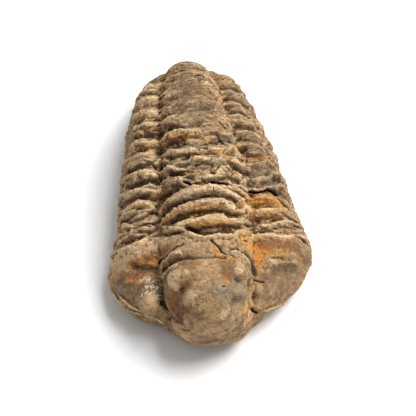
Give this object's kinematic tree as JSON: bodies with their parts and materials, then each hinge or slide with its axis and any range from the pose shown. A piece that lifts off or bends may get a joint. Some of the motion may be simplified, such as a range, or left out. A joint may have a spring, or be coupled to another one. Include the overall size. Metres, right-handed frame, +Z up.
{
  "type": "calymene trilobite fossil",
  "caption": "Palm-sized stone fossil of a ribbed trilobite, stretched out on its belly, with a swollen head, a three-lobed ringed back and a short tail.",
  "frame": {"origin": "middle of the stone's outline seen from above, on the surface that it rests on", "axes": "+Y from the head to the tail, +X to the right of someone who looks from the head to the tail, +Z up"},
  "size_m": [0.0464, 0.0846, 0.0252],
  "materials": {
    "stone": "dull grainy tan-brown stone, paler and worn on the ridges, near black in the furrows and cracks, with orange, rust and ochre iron stains and grey patches"
  },
  "bodies": {
    "root": {"trilobite": "stone"}
  },
  "joints": []
}
